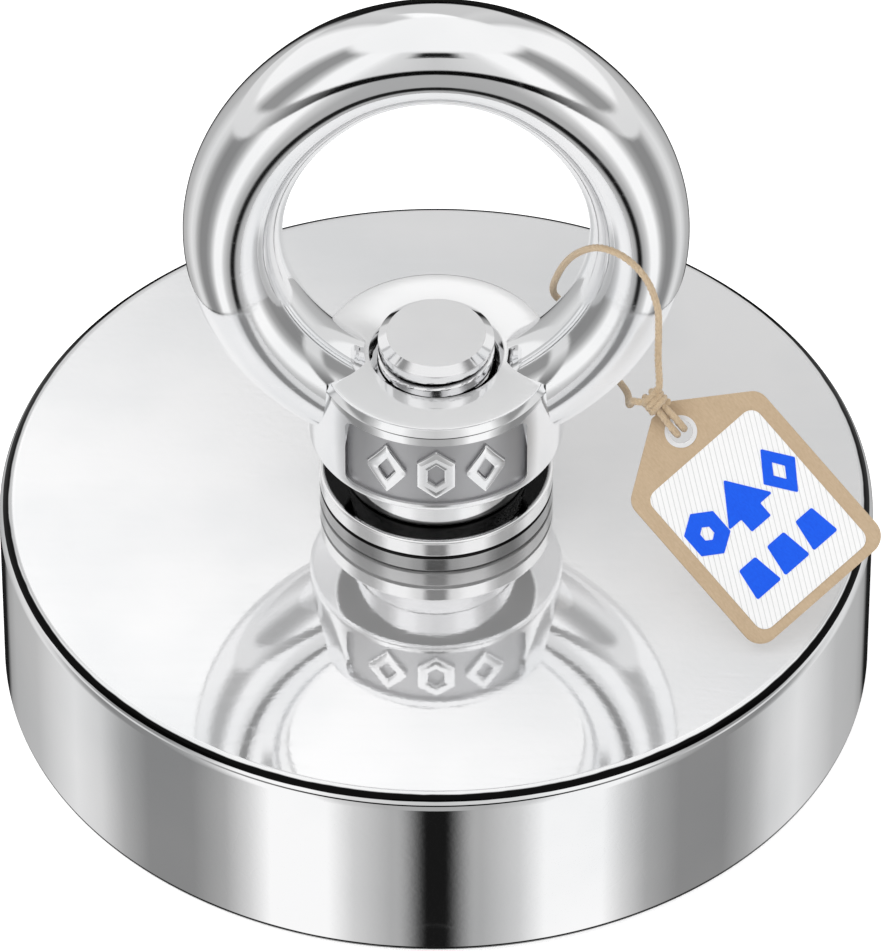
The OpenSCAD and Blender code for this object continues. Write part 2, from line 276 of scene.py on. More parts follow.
def twine_material():
    """Pale jute: fibre streaks along the cord and a slow change of tone."""
    material, tree, surface = node_tree("jute_twine")
    uv = put(tree, "ShaderNodeUVMap", {"uv_map": "surface"}).outputs[0]
    stretched = put(tree, "ShaderNodeVectorMath", {"operation": "MULTIPLY"}, i0=uv,
                    i1=(40, 6, 1)).outputs[0]
    fibre = put(tree, "ShaderNodeGroup", {"node_tree": FIBRE}, Vector=stretched,
                Dark=(0.4, 0.27, 0.15, 1), Light=(0.84, 0.67, 0.46, 1), Fine=5.0, Slow=0.6)
    tree.links.new(fibre.outputs["Color"], surface.inputs["Base Color"])
    bump = put(tree, "ShaderNodeBump", Height=fibre.outputs["Height"], Strength=0.6,
               Distance=0.00005).outputs[0]
    tree.links.new(bump, surface.inputs["Normal"])
    surface.inputs["Roughness"].default_value = 0.85
    surface.inputs["Sheen Weight"].default_value = 0.3
    return material


JUTE = twine_material()
twine.data.materials.append(JUTE)
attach(twine, "twine")
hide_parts("twine_loop")

# ------------------------------------------------------------------ knot
# The twine is wound round its own two strands and pulled tight at the edge of the card, so
# the knot is a short coil of the same twine.

KNOT_P = -2.65
KNOT_N = 1.2
WRAPS = 3
WRAP_R = 0.62
WRAP_STEP = 0.36

turn = np.linspace(0, WRAPS * 2 * np.pi, 180)
knot_line = on_tag(
    KNOT_P - WRAPS / 2 * WRAP_STEP + WRAP_STEP * turn / (2 * np.pi),
    WRAP_R * np.cos(turn),
    KNOT_N + WRAP_R * np.sin(turn),
)
knot = smooth(twisted("twine_knot_wraps", knot_line, TWINE_TWIST), 60)
knot.data.materials.append(JUTE)
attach(knot, "twine")
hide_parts("twine_knot")

# ------------------------------------------------------------------ pot
# A turned low-carbon steel cup, 60 mm across, with a countersunk hole in its plate. Its edges
# are rounded before it is plated with bright nickel and chrome.

POT_R = 30.0
CUP_R = 25.5
PLATE_Z = 9.0
HEAD_R = 8.07
SEAT_LOW = 9.5
SCREW_PLAY_R = 4.2


def rounded(corners, steps=8, hold=0.05):
    """Profile from (r, z, radius) corners. Each corner becomes an arc that touches both its
    sides, centre = corner + (to previous + to next) / |..| * radius / sin(half angle), and a
    point stands hold before and after it so that smooth shading leaves the flats flat."""
    corners = np.array(corners, float)
    here, radius = corners[:, :2], corners[:, 2:]
    back = np.roll(here, 1, axis=0) - here
    fore = np.roll(here, -1, axis=0) - here
    back /= np.linalg.norm(back, axis=1, keepdims=True)
    fore /= np.linalg.norm(fore, axis=1, keepdims=True)
    half = np.arccos(np.clip(np.sum(back * fore, axis=1, keepdims=True), -1, 1)) / 2
    tangent = radius / np.tan(half)
    middle = back + fore
    middle /= np.linalg.norm(middle, axis=1, keepdims=True)
    centre = here + middle * radius / np.sin(half)
    t = np.linspace(-1, 1, steps + 1)[None, :, None]
    sweep = (np.pi / 2 - half)[:, None]
    across = fore - back
    across /= np.linalg.norm(across, axis=1, keepdims=True)
    arc = centre[:, None] + radius[:, None] * (
        np.sin(sweep * t) * across[:, None] - np.cos(sweep * t) * middle[:, None]
    )
    before = (here + back * (tangent + hold))[:, None]
    after = (here + fore * (tangent + hold))[:, None]
    return np.concatenate([before, arc, after], axis=1).reshape(-1, 2)


def turned(name, profile, columns=288):
    """Lathe work: each (r, z) of a closed profile in millimetres goes once round Z as
    (r cos a, r sin a, z)."""
    angle = np.arange(columns) * 2 * np.pi / columns
    r, z = profile[:, :1], profile[:, 1:]
    grid = np.stack([r * np.cos(angle), r * np.sin(angle), z + 0 * angle], axis=-1)
    return smooth(shell(name, grid / 1000))


def metal_group():
    """Bright plating on Object coordinates. Smudge is a slow noise, Grain a fine one and
    Scratches thin bent lines where a stretched noise crosses its middle. Color is the tint
    between dark and light by Smudge, Roughness rises with Smudge and Scratches, and Height
    is the grain less the scratches."""
    group = bpy.data.node_groups.new("bright_metal", "ShaderNodeTree")
    for name, kind in (("Dark", "Color"), ("Light", "Color"), ("Smooth", "Float"),
                       ("Dull", "Float"), ("Scratches", "Float"), ("Grain Scale", "Float")):
        group.interface.new_socket(name, in_out="INPUT", socket_type=f"NodeSocket{kind}")
    for name, kind in (("Color", "Color"), ("Roughness", "Float"), ("Height", "Float")):
        group.interface.new_socket(name, in_out="OUTPUT", socket_type=f"NodeSocket{kind}")
    given = group.nodes.new("NodeGroupInput").outputs
    place = put(group, "ShaderNodeTexCoord").outputs["Object"]
    smudge = put(group, "ShaderNodeTexNoise", Vector=place, Scale=70.0, Detail=3.0).outputs[0]
    smudge = maths(group, "MULTIPLY", maths(group, "SUBTRACT", smudge, 0.42), 3.2, clamp=True)
    grain = put(group, "ShaderNodeTexNoise", Vector=place, Scale=given["Grain Scale"],
                Detail=2.0).outputs[0]
    bent = put(group, "ShaderNodeMapping", Vector=place, Rotation=(0.3, 0.2, 0.7),
               Scale=(60.0, 900.0, 300.0)).outputs[0]
    lines = put(group, "ShaderNodeTexNoise", Vector=bent, Scale=1.0, Detail=1.0).outputs[0]
    near = maths(group, "ABSOLUTE", maths(group, "SUBTRACT", lines, 0.5))
    scratch = maths(group, "SUBTRACT", 1.0, maths(group, "MULTIPLY", near, 60.0), clamp=True)
    scratch = maths(group, "MULTIPLY", scratch, given["Scratches"])
    colour = put(group, "ShaderNodeMix", {"data_type": "RGBA"}, i0=smudge,
                 i6=given["Light"], i7=given["Dark"]).outputs[2]
    rough = maths(group, "MULTIPLY_ADD", smudge,
                  maths(group, "SUBTRACT", given["Dull"], given["Smooth"]), given["Smooth"])
    rough = maths(group, "ADD", rough, maths(group, "MULTIPLY", scratch, 0.15))
    height = maths(group, "SUBTRACT", grain, scratch)
    back = group.nodes.new("NodeGroupOutput").inputs
    group.links.new(colour, back["Color"])
    group.links.new(rough, back["Roughness"])
    group.links.new(height, back["Height"])
    return group


METAL = metal_group()


def metal_material(name, dark, light, smooth_to, dull, scratches, grain, relief):
    """Plated or turned metal: the bright_metal group on a fully metallic surface. Gives the
    material, its node tree and its Principled BSDF."""
    material, tree, surface = node_tree(name)
    metal = put(tree, "ShaderNodeGroup", {"node_tree": METAL}, Dark=(*dark, 1), Light=(*light, 1),
                Smooth=smooth_to, Dull=dull, Scratches=scratches, Grain_Scale=grain)
    tree.links.new(metal.outputs["Color"], surface.inputs["Base Color"])
    tree.links.new(metal.outputs["Roughness"], surface.inputs["Roughness"])
    bump = put(tree, "ShaderNodeBump", Height=metal.outputs["Height"], Strength=relief,
               Distance=0.00002).outputs[0]
    tree.links.new(bump, surface.inputs["Normal"])
    surface.inputs["Metallic"].default_value = 1.0
    return material, tree, surface


def off_axis(tree, x, y):
    """Distance from the Z axis: the root of x x + y y."""
    return maths(tree, "SQRT", maths(tree, "ADD", maths(tree, "MULTIPLY", x, x),
                                     maths(tree, "MULTIPLY", y, y)))


def painted_shade_group():
    """Painted shade: dark lines where two turned parts meet or an edge mirrors dark. Mask is 1
    within Reach of a Height and within Width of a Radius, all in millimetres. It fades over a
    fifth of Reach more, and over the last 0.2 of Width; a noise lets it come and go a little."""
    group = bpy.data.node_groups.new("painted_shade_lines", "ShaderNodeTree")
    for name in ("Height", "Reach", "Radius", "Width"):
        group.interface.new_socket(name, in_out="INPUT", socket_type="NodeSocketFloat")
    group.interface.new_socket("Mask", in_out="OUTPUT", socket_type="NodeSocketFloat")
    given = group.nodes.new("NodeGroupInput").outputs
    place = put(group, "ShaderNodeTexCoord").outputs["Object"]
    x, y, z = put(group, "ShaderNodeSeparateXYZ", i0=place).outputs
    out = maths(group, "MULTIPLY", off_axis(group, x, y), 1000.0)
    aside = maths(group, "ABSOLUTE", maths(group, "SUBTRACT", out, given["Radius"]))
    inside = maths(group, "SUBTRACT", given["Width"], aside)
    near = maths(group, "MULTIPLY", inside, 5.0, clamp=True)
    off = maths(group, "ABSOLUTE", maths(group, "SUBTRACT", maths(group, "MULTIPLY", z, 1000.0),
                                         given["Height"]))
    patchy = put(group, "ShaderNodeTexNoise", Vector=place, Scale=500.0).outputs[0]
    uneven = maths(group, "MULTIPLY_ADD", patchy, 0.3, 0.85)
    reach = maths(group, "MULTIPLY", given["Reach"], uneven)
    mask = maths(group, "MULTIPLY",
                 maths(group, "SUBTRACT", 1.2, maths(group, "DIVIDE", off, reach)), 5.0, clamp=True)
    mask = maths(group, "MULTIPLY", mask, near)
    back = group.nodes.new("NodeGroupOutput").inputs
    group.links.new(mask, back["Mask"])
    return group


# The painted-shade group: dark lines of shade painted on the metal.
PAINTED_SHADE = painted_shade_group()


def darkened(tree, surface, joints, dark=0.015):
    """Paints shade: mixes a metal's Base Color towards black by the painted-shade masks of the
    given (height, reach, radius, width)."""
    masks = [put(tree, "ShaderNodeGroup", {"node_tree": PAINTED_SHADE}, Height=height, Reach=reach,
                 Radius=radius, Width=width).outputs[0] for height, reach, radius, width in joints]
    mask = masks[0]
    for other in masks[1:]:
        mask = maths(tree, "MAXIMUM", mask, other)
    colour = surface.inputs["Base Color"].links[0].from_socket
    mixed = put(tree, "ShaderNodeMix", {"data_type": "RGBA"}, i0=mask, i6=colour,
                i7=(dark, dark, dark, 1)).outputs[2]
    tree.links.new(mixed, surface.inputs["Base Color"])


def pot_material():
    """Bright plating. The flat top keeps a satin haze: inside the rounded edge the surface is
    less of a mirror, because Metallic drops where the height says it is the top. Thin dark
    lines of painted shade follow its upper and lower edges."""
    material, tree, surface = metal_material(
        "bright_plating", (0.86, 0.87, 0.88), (0.94, 0.94, 0.945), 0.025, 0.06, 0.25, 2500.0, 0.05)
    place = put(tree, "ShaderNodeTexCoord").outputs["Object"]
    xyz = put(tree, "ShaderNodeSeparateXYZ", i0=place).outputs
    top = maths(tree, "GREATER_THAN", xyz[2], (POT_H - 0.01) / 1000)
    haze = maths(tree, "SUBTRACT", 1.0, maths(tree, "MULTIPLY", top, 0.28))
    tree.links.new(haze, surface.inputs["Metallic"])
    # Painted shade: black lines on the top's rounded edge and on the bottom chamfer.
    darkened(tree, surface, [(POT_H - 0.2, 0.13, POT_R, 2.0), (0.42, 0.09, POT_R, 1.0)], 0.006)
    return material


pot = turned("pot", rounded([
    (CUP_R, 0, 0.3), (POT_R, 0, 0.5), (POT_R, POT_H, 1.0), (SCREW_PLAY_R, POT_H, 0.1),
    (SCREW_PLAY_R, SEAT_LOW + HEAD_R - SCREW_PLAY_R, 0.1), (HEAD_R, SEAT_LOW, 0.1),
    (HEAD_R, PLATE_Z, 0.1), (CUP_R, PLATE_Z, 0.2),
], steps=12), 384)
pot.data.materials.append(pot_material())
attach(pot, "pot")
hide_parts("steel_pot")

# ------------------------------------------------------------------ magnet
# A sintered ring magnet, nickel plated, glued to the inside of the plate. Its face stands a
# little below the rim.

MAGNET_R = 23.7
MAGNET_BORE_R = 10
MAGNET_LOW = 0.3
MAGNET_HIGH = 8.8

magnet = turned("magnet_ring", rounded([
    (MAGNET_BORE_R, MAGNET_LOW, 0.3), (MAGNET_R, MAGNET_LOW, 0.3),
    (MAGNET_R, MAGNET_HIGH, 0.15), (MAGNET_BORE_R, MAGNET_HIGH, 0.15),
]))
magnet.data.materials.append(metal_material(
    "magnet_nickel", (0.55, 0.54, 0.5), (0.72, 0.7, 0.66), 0.16, 0.3, 0.6, 1800.0, 0.25)[0])
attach(magnet, "pot")
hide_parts("ring_magnet")


def glue_material():
    """Cured two-part glue: straw yellow, cloudy, slightly glossy."""
    material, tree, surface = node_tree("cured_glue")
    place = put(tree, "ShaderNodeTexCoord").outputs["Object"]
    cloud = put(tree, "ShaderNodeTexNoise", Vector=place, Scale=400.0, Detail=3.0).outputs[0]
    colour = ramp(tree, cloud, [(0.3, (0.32, 0.27, 0.12)), (0.7, (0.5, 0.44, 0.24))])
    tree.links.new(colour, surface.inputs["Base Color"])
    tree.links.new(maths(tree, "MULTIPLY", cloud, 0.7), surface.inputs["Roughness"])
    return material


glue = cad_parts["magnet_glue"]
glue.data.materials.clear()
glue.data.materials.append(glue_material())

# ------------------------------------------------------------------ resin
# Dark casting resin poured round and inside the magnet. It creeps up both walls, so its face
# is hollow, and it holds a few fine bubbles.

RESIN_FACE = 0.95
RESIN_CREEP = 0.2
LINING_R = 9.2


def poured(name, inner_r, outer_r, face_z, creep):
    """Ring of resin: its lower face is z = face - creep (2t - 1)^2, with t from 0 at the
    inner wall to 1 at the outer one."""
    t = np.linspace(0, 1, 25)
    face = np.stack([inner_r + (outer_r - inner_r) * t, face_z - creep * (2 * t - 1) ** 2], axis=1)
    return turned(name, np.concatenate([face, [[outer_r, PLATE_Z], [inner_r, PLATE_Z]]]))


def resin_material():
    """Near-black resin: cloudy tone, small pits from bubbles, a soft gloss."""
    material, tree, surface = node_tree("casting_resin")
    place = put(tree, "ShaderNodeTexCoord").outputs["Object"]
    cloud = put(tree, "ShaderNodeTexNoise", Vector=place, Scale=250.0, Detail=4.0).outputs[0]
    cells = put(tree, "ShaderNodeTexVoronoi", Vector=place, Scale=1300.0).outputs["Distance"]
    pits = ramp(tree, cells, [(0.08, 0.0), (0.2, 1.0)])
    colour = ramp(tree, cloud, [(0.3, (0.018, 0.018, 0.02)), (0.7, (0.05, 0.05, 0.053))])
    tree.links.new(colour, surface.inputs["Base Color"])
    rough = maths(tree, "MULTIPLY_ADD", cloud, 0.4, 0.15)
    tree.links.new(rough, surface.inputs["Roughness"])
    bump = put(tree, "ShaderNodeBump", Height=pits, Strength=0.4, Distance=0.00004).outputs[0]
    tree.links.new(bump, surface.inputs["Normal"])
    return material


RESIN = resin_material()
for name, node, inner_r, outer_r in (
        ("resin_outer", "outer_resin_ring", MAGNET_R, CUP_R),
        ("resin_inner", "inner_resin_ring", LINING_R, MAGNET_BORE_R)):
    resin = poured(name, inner_r, outer_r, RESIN_FACE, RESIN_CREEP)
    resin.data.materials.append(RESIN)
    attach(resin, "pot")
    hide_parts(node)

# ------------------------------------------------------------------ screw
# A countersunk steel machine screw with a hexagon socket. It comes up through the plate and
# the washers, and its end shows above the eye nut.

PITCH = 1.25
CREST_R = 3.95
THREAD_DEPTH = 0.55
THREAD_Z = 13.7
RUNOUT_Z = 14.2
TIP_Z = 29.2
TIP_R = 3.37
TIP_SLOPE = 1.29
TIP_LAND = 0.6
HEAD_Z = 9.2
KEY_AF = 5.0
KEY_TOP_Z = 12.2


def screw_surface(columns=192, rows_in_turn=20):
    """Rows from the socket's floor, down its six walls, round the head, up the thread to the
    end. Socket: r = (flats / 2) / cos(angle from the nearest flat). Thread: r = crest -
    depth * clip(1.1 - 2.4 |2u - 1|, 0, 1), where u is the fraction of z / pitch - angle / 2 pi.
    The groove fades out at the shank and below the tip, and the chamfer r = tip radius +
    slope * (tip height - z) cuts across the crests."""
    angle = np.arange(columns) * 2 * np.pi / columns
    sixth = np.pi / 3
    hexagon = KEY_AF / 2 / np.cos((angle + sixth / 2) % sixth - sixth / 2)
    even = np.ones(columns)
    key = [(0 * even, KEY_TOP_Z + 0.5), (hexagon - 0.25, KEY_TOP_Z), (hexagon, KEY_TOP_Z - 0.02),
           (hexagon, HEAD_Z + 0.22), (hexagon + 0.02, HEAD_Z + 0.18), (hexagon + 0.2, HEAD_Z)]
    head = [(3.6 * even, HEAD_Z), (7.75 * even, HEAD_Z), (7.8 * even, HEAD_Z),
            (7.93 * even, HEAD_Z + 0.06), (8 * even, HEAD_Z + 0.2), (8 * even, HEAD_Z + 0.28),
            (7.96 * even, HEAD_Z + 0.34), (4.0 * even, 13.5), (CREST_R * even, 13.58)]
    end = [((TIP_R - 0.06) * even, TIP_Z), (0 * even, TIP_Z)]
    z = np.linspace(THREAD_Z, TIP_Z, int((TIP_Z - THREAD_Z) / PITCH * rows_in_turn))[:, None]
    u = (z / PITCH - angle / (2 * np.pi)) % 1
    fade = np.clip((z - RUNOUT_Z) / PITCH, 0, 1) * np.clip((TIP_Z - TIP_LAND - z) / 0.2, 0, 1)
    groove = np.clip(1.1 - 2.4 * np.abs(2 * u - 1), 0, 1) * THREAD_DEPTH * fade
    r = np.minimum(CREST_R - groove, TIP_R + (TIP_Z - z) * TIP_SLOPE)
    radii = np.concatenate([[row for row, _ in key + head], r, [row for row, _ in end]])
    heights = np.concatenate([[[z_row] for _, z_row in key + head], z, [[z_row] for _, z_row in end]])
    return np.stack([radii * np.cos(angle), radii * np.sin(angle), heights + 0 * angle],
                    axis=-1) / 1000


screw = smooth(shell("screw", screw_surface(), loop=False), 32)


def screw_material():
    """Bright steel with painted shade in the thread: the tint falls towards black as the distance
    from the axis drops from the crest to half the thread's depth, on the thread's height only.
    The flat tip is less of a mirror."""
    material, tree, surface = metal_material(
        "screw_steel", (0.78, 0.78, 0.79), (0.9, 0.9, 0.905), 0.06, 0.12, 0.3, 3000.0, 0.05)
    place = put(tree, "ShaderNodeTexCoord").outputs["Object"]
    x, y, z = put(tree, "ShaderNodeSeparateXYZ", i0=place).outputs
    # Painted shade in the thread's grooves.
    depth = maths(tree, "SUBTRACT", (CREST_R - 0.1) / 1000, off_axis(tree, x, y))
    thread_shade = maths(tree, "MULTIPLY", depth, 5000.0, clamp=True)
    for limit in (maths(tree, "GREATER_THAN", z, (THREAD_Z - 0.1) / 1000),
                  maths(tree, "LESS_THAN", z, (TIP_Z - TIP_LAND) / 1000)):
        thread_shade = maths(tree, "MULTIPLY", thread_shade, limit)
    tint = put(tree, "ShaderNodeMix", {"data_type": "RGBA"}, i0=thread_shade,
               i6=surface.inputs["Base Color"].links[0].from_socket,
               i7=(0.02, 0.02, 0.02, 1)).outputs[2]
    tree.links.new(tint, surface.inputs["Base Color"])
    tip = maths(tree, "GREATER_THAN", z, (TIP_Z - 0.01) / 1000)
    tree.links.new(maths(tree, "SUBTRACT", 1.0, maths(tree, "MULTIPLY", tip, 0.4)),
                   surface.inputs["Metallic"])
    return material


screw.data.materials.append(screw_material())
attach(screw, "screw")
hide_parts("countersunk_screw")

# ------------------------------------------------------------------ washers
# Two flat stainless washers, turned and tumbled, stand between the pot and the eye nut. Each
# is drawn a hair thinner than it is, so that their faces stay apart as they turn. Painted
# shade darkens their joints and a ring on top, round the eye nut's foot, and the lower washer
# is painted a darker tone than the upper one as shade.

WASHER_R = 8
WASHER_T = 1.4
WASHER_GAP = 0.008

# The lower washer's tone of 0.42 against the upper's 0.94 is painted shade: both are the same steel.
for name, node, low, light in (("washer_low", "lower_washer", POT_H, 0.42),
                               ("washer_high", "upper_washer", POT_H + WASHER_T, 0.94)):
    material, tree, surface = metal_material(
        name + "_steel", (light - 0.12,) * 3, (light,) * 3, 0.04, 0.1, 0.5, 2600.0, 0.08)
    # Painted shade: black lines at the pot/washer and washer/washer joints, and a black ring on the
    # upper washer's top round the eye nut's boss.
    darkened(tree, surface, [
        (POT_H, 0.17, WASHER_R, 1.0), (POT_H + WASHER_T, 0.15, WASHER_R, 1.0),
        (POT_H + 2 * WASHER_T, 0.03, 6.85, 1.0)])
    bottom = low + WASHER_GAP
    top = low + WASHER_T - WASHER_GAP
    washer = turned(name, rounded([
        (SCREW_PLAY_R, bottom, 0.1), (WASHER_R, bottom, 0.18), (WASHER_R, top, 0.18),
        (SCREW_PLAY_R, top, 0.1),
    ], steps=6))
    washer.data.materials.append(material)
    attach(washer, node)
    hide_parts(node)

# ------------------------------------------------------------------ eye nut
# A forged stainless eye nut, polished bright. An oval ring of nearly round bar grows out of a
# tapered hub over a smaller boss, and three pierced marks stand in a sunk panel in front.

EYE_Z = 38.44
BAR_R = 3.35
BAR_DEPTH = 3.7
NUT_Z = 17.2
HUB_Z = 20.8
HUB_TOP_Z = 27.5
BOSS_R = 6.5
BOSS_TOP_R = 5.7
BORE_R = 4.0
SPOT_R = 4.9
HUB_R = 8.72
SIDE_Z = 21.05
SIDE_RISE = 5.9
SHOULDER_R = 8.2
HUB_TOP_R = 7.85
PANEL_LOW = 21.35
PANEL_HIGH = 26.4
PANEL_HALF = 6.15
PANEL_DEPTH = 0.35
MARK_HALF = 1.3
MARK_TIP = 1.95
MARK_SPACING = 3.35
JOIN = math.acos(0.6)


def oval(count=60):
    """Middle line of the bar in the eye's plane, and its outward direction: six round arcs
    with (centre x, centre z, radius, from, to), each leaving out its last point."""
    arcs = np.array([
        [-3.3, 0, 16.95, 0, JOIN], [0, 4.4, 11.45, JOIN, np.pi - JOIN],
        [3.3, 0, 16.95, np.pi - JOIN, np.pi], [3, 0, 16.65, np.pi, np.pi + JOIN],
        [0, -4, 11.65, np.pi + JOIN, 2 * np.pi - JOIN], [-3, 0, 16.65, -JOIN, 0],
    ])[:, :, None]
    angle = arcs[:, 3] + (arcs[:, 4] - arcs[:, 3]) * np.arange(count) / count
    out = np.stack([np.cos(angle), np.sin(angle)], axis=-1).reshape(-1, 2)
    middle = np.concatenate([arcs[:, 0], arcs[:, 1]], axis=1)[:, None]
    return (middle + arcs[:, 2, None] * out.reshape(6, count, 2)).reshape(-1, 2), out


def bar_surface(columns=96):
    """Bar along the oval: centre + R cos b * outward + depth sin b * forward."""
    line, out = oval()
    b = np.arange(columns) * 2 * np.pi / columns
    flat = line[:, None] + BAR_R * np.cos(b)[None, :, None] * out[:, None]
    return np.stack([flat[..., 0], BAR_DEPTH * np.sin(b) + 0 * flat[..., 0], EYE_Z + flat[..., 1]],
                    axis=-1) / 1000


def hub_radius(z, inset=0.0):
    """Hub side: r = lower radius - inset - (lower - shoulder) t^2, t from 0 to 1 upwards."""
    t = np.clip((z - SIDE_Z) / SIDE_RISE, 0, 1.2)
    return HUB_R - inset - (HUB_R - SHOULDER_R) * t**2


def on_hub(x, z, inset):
    """Front of the hub: (x, -sqrt(r(z)^2 - x^2), z) with r reduced by the inset."""
    x, z, inset = np.broadcast_arrays(x, z, inset)
    return np.stack([x, -np.sqrt(hub_radius(z, inset) ** 2 - x**2), z], axis=-1) / 1000


def between(name, inner, outer, share, level, place, uv=None):
    """Shell of rings between two outlines: point = inner + share (outer - inner) at each
    level, put in the row frame by place(a, b, level)."""
    share, level = np.array(share, float), np.array(level, float)
    flat = inner[None] + share[:, None, None] * (outer - inner)[None]
    grid = place(flat[..., 0], flat[..., 1], level[:, None])
    return shell(name, grid, uv=uv(flat) if uv else None)


def combine(target, tool, operation):
    """Applies an exact boolean of tool to target and removes tool."""
    change = target.modifiers.new("cut", "BOOLEAN")
    change.operation = operation
    change.solver = "EXACT"
    change.object = tool
    seen = bpy.context.evaluated_depsgraph_get()
    made = bpy.data.meshes.new_from_object(target.evaluated_get(seen))
    target.modifiers.clear()
    target.data = made
    bpy.data.objects.remove(tool)


def polygon_ring(corners, radius, per_side):
    """Closed outline through rounded corners, with per_side points laid evenly on each side
    between the arcs."""
    points = rounded([(*c, radius) for c in corners], steps=6, hold=0.0)
    points = points.reshape(len(corners), -1, 2)[:, 1:-1]
    gap = np.roll(points[:, 0], -1, axis=0) - points[:, -1]
    t = (np.arange(1, per_side) / per_side)[None, :, None]
    sides = points[:, -1:] + gap[:, None] * t
    return np.concatenate([points, sides], axis=1).reshape(-1, 2)


# The hub's profile: boss, sharp lower edge, bowed side, chamfer, flat top, countersunk bore.
side_z = np.linspace(SIDE_Z, 26.88, 24)
eye = turned("eye_and_hub", np.concatenate([
    rounded([(BORE_R, NUT_Z, 0.25), (BOSS_R, NUT_Z, 0.25), (BOSS_TOP_R, HUB_Z, 0.15)])[:-1],
    [[HUB_R - 0.3, HUB_Z], [HUB_R - 0.24, HUB_Z + 0.01], [HUB_R - 0.08, HUB_Z + 0.08],
     [HUB_R - 0.01, HUB_Z + 0.2]],
    np.stack([hub_radius(side_z), side_z], axis=1),
    [[8.19, 26.96], [8.15, 27.04], [HUB_TOP_R + 0.06, HUB_TOP_Z - 0.1],
     [HUB_TOP_R + 0.02, HUB_TOP_Z - 0.04], [HUB_TOP_R - 0.08, HUB_TOP_Z],
     [HUB_TOP_R - 0.14, HUB_TOP_Z], [BORE_R + 0.66, HUB_TOP_Z], [BORE_R + 0.58, HUB_TOP_Z - 0.02],
     [BORE_R, HUB_TOP_Z - 0.62]],
]), 384)
bar = shell("bar", bar_surface())
spot = turned("spot", np.array([[0, 15], [SPOT_R, 15], [SPOT_R, 30.5], [0, 30.5]], float), 192)
combine(bar, spot, "DIFFERENCE")
combine(eye, bar, "UNION")
panel = polygon_ring([
    (PANEL_HALF, PANEL_LOW), (PANEL_HALF, PANEL_HIGH), (-PANEL_HALF, PANEL_HIGH),
    (-PANEL_HALF, PANEL_LOW)], 0.6, 12)
panel_centre = np.zeros_like(panel) + [0, (PANEL_LOW + PANEL_HIGH) / 2]
steps = np.linspace(0, 1, 13)
cutter = between("cutter", panel_centre, panel, np.concatenate([steps, steps[::-1]]),
                 np.repeat([PANEL_DEPTH, -1.2], 13), on_hub)
combine(eye, cutter, "DIFFERENCE")
for x, cut in ((-MARK_SPACING, 0.15), (0, 0.98), (MARK_SPACING, 0.15)):
    outline = np.array([
        [MARK_HALF, -cut], [MARK_HALF, cut], [0, MARK_TIP], [-MARK_HALF, cut], [-MARK_HALF, -cut],
        [0, -MARK_TIP]])
    hole = outline * [0.42, 0.46]
    centre = [x, (PANEL_LOW + PANEL_HIGH) / 2]
    outer = polygon_ring(outline + centre, 0.06, 6)
    inner = polygon_ring(hole + centre, 0.03, 6)
    mark = between("mark", inner, outer, [0, 0.04, 0.12, 0.5, 0.88, 0.96, 1, 1, 0],
                   [0.12, 0.07, 0.05, 0.05, 0.05, 0.07, 0.12, 0.5, 0.5], on_hub)
    combine(eye, mark, "UNION")
smooth(eye, 22)
eye.data.materials.clear()


def eye_material():
    """Polished steel, with the panel's floor left as blasted: where the radius is over 0.2 mm
    less than the hub's, in front and between the panel's edges, it is grey and rough. The
    hub's flat top is less of a mirror."""
    material, tree, surface = metal_material(
        "eye_polish", (0.86, 0.87, 0.88), (0.95, 0.95, 0.955), 0.05, 0.09, 0.35, 2800.0, 0.04)
    place = put(tree, "ShaderNodeTexCoord").outputs["Object"]
    x, y, z = put(tree, "ShaderNodeSeparateXYZ", i0=place).outputs
    radius = maths(tree, "MULTIPLY", off_axis(tree, x, y), 1000.0)
    rise = maths(tree, "MULTIPLY", maths(tree, "SUBTRACT", z, SIDE_Z / 1000), 1000 / SIDE_RISE)
    bow = maths(tree, "MULTIPLY", maths(tree, "MULTIPLY", rise, rise), HUB_R - SHOULDER_R)
    below = maths(tree, "SUBTRACT", maths(tree, "SUBTRACT", HUB_R, bow), radius)
    sunk = maths(tree, "MULTIPLY", maths(tree, "SUBTRACT", below, 0.18), 20.0, clamp=True)
    front = maths(tree, "LESS_THAN", y, -0.0055)
    low = maths(tree, "GREATER_THAN", z, PANEL_LOW / 1000 - 0.00002)
    high = maths(tree, "LESS_THAN", z, PANEL_HIGH / 1000 + 0.00002)
    for limit in (front, low, high):
        sunk = maths(tree, "MULTIPLY", sunk, limit)
    colour = surface.inputs["Base Color"].links[0].from_socket
    rough = surface.inputs["Roughness"].links[0].from_socket
    tint = put(tree, "ShaderNodeMix", {"data_type": "RGBA"}, i0=sunk, i6=colour,
               i7=(0.52, 0.52, 0.53, 1)).outputs[2]
    tree.links.new(tint, surface.inputs["Base Color"])
    blasted = put(tree, "ShaderNodeMix", i0=sunk, i2=rough, i3=0.42).outputs[0]
    tree.links.new(blasted, surface.inputs["Roughness"])
    top = maths(tree, "GREATER_THAN", z, (HUB_TOP_Z - 0.01) / 1000)
    flat = maths(tree, "LESS_THAN", z, (HUB_TOP_Z + 0.01) / 1000)
    satin = maths(tree, "MULTIPLY", maths(tree, "MULTIPLY", top, flat), 0.4)
    tree.links.new(maths(tree, "SUBTRACT", 1.0, satin), surface.inputs["Metallic"])
    return material


eye.data.materials.append(eye_material())
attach(eye, "eye")
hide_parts("eye_nut")

# ------------------------------------------------------------------ tag card
# A die-cut tag of brown kraft board, half a millimetre thick, with cut corners at its narrow
# end and a punched hole for the twine.

HOLE_R = 0.95
CARD_NEAR = -1.95
CARD_NEAR_HALF = 0.9
CARD_SHOULDER = 1.4
CARD_FAR = 14.65
CARD_HALF = 5.85
UV_SPAN = 20


def tag_uv(flat):
    """(p, q) of each point as a share of one span, so that print and grain follow the card."""
    return flat / UV_SPAN + 0.5


